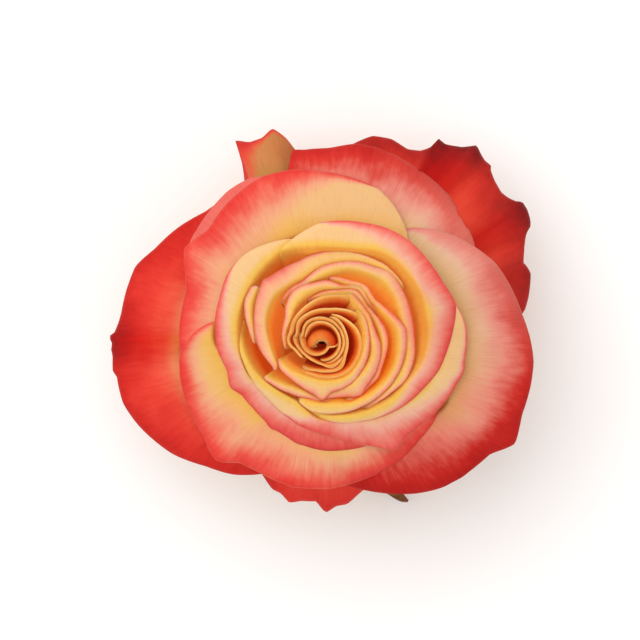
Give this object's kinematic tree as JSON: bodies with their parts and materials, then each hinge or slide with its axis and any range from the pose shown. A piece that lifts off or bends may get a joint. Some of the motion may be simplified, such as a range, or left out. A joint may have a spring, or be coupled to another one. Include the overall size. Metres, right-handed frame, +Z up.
{
  "type": "cut rose head",
  "caption": "Fully opened rose head, cut just under the hip and lying face up, with rolled outer petals round a tight spiral heart.",
  "frame": {"origin": "centre of the flat cut end of the stem, on the surface that the head rests on, under the heart of the bloom", "axes": "+Z up through the spiral heart of the bloom, +X towards the right of the picture, +Y towards its top"},
  "size_m": [0.1067, 0.0974, 0.0603],
  "materials": {
    "guard_petal": "soft matt petal, red at the edge and cream low down",
    "outer_petal": "soft matt petal, cream with a wide pink margin",
    "ring_petal": "soft matt petal, cream with a pink margin",
    "inner_petal": "soft matt petal, warm yellow with a thin pink edge",
    "heart_petal": "soft matt petal, deep orange yellow",
    "calyx": "matt green hip, stem and sepals"
  },
  "bodies": {
    "root": {"hip_with_cut_stem": "calyx", "sepal_front": "calyx", "sepal_right": "calyx", "sepal_back_right": "calyx", "sepal_back_left": "calyx", "sepal_left": "calyx", "heart_petal_10": "heart_petal", "heart_petal_09": "heart_petal", "heart_petal_08": "heart_petal", "heart_petal_07": "heart_petal", "heart_petal_06": "heart_petal", "heart_petal_05": "heart_petal", "heart_petal_04": "heart_petal", "heart_petal_03": "heart_petal", "heart_petal_02": "heart_petal", "heart_petal_01": "heart_petal", "inner_petal_07": "inner_petal", "inner_petal_04": "inner_petal", "inner_petal_08": "inner_petal", "inner_petal_06": "inner_petal", "inner_petal_05": "inner_petal", "inner_petal_03": "inner_petal", "inner_petal_02": "inner_petal", "inner_petal_01": "inner_petal", "inner_petal_09": "inner_petal", "ring_petal_right": "ring_petal", "ring_petal_bottom": "ring_petal", "ring_petal_left": "ring_petal", "outer_petal_lower_left": "outer_petal", "outer_petal_upper_left": "outer_petal", "guard_petal_right": "guard_petal", "guard_petal_upper_left": "guard_petal", "guard_petal_top": "guard_petal", "guard_petal_left": "guard_petal", "guard_petal_ruffled": "guard_petal", "guard_petal_bottom": "guard_petal", "guard_petal_folded": "guard_petal"}
  },
  "joints": []
}
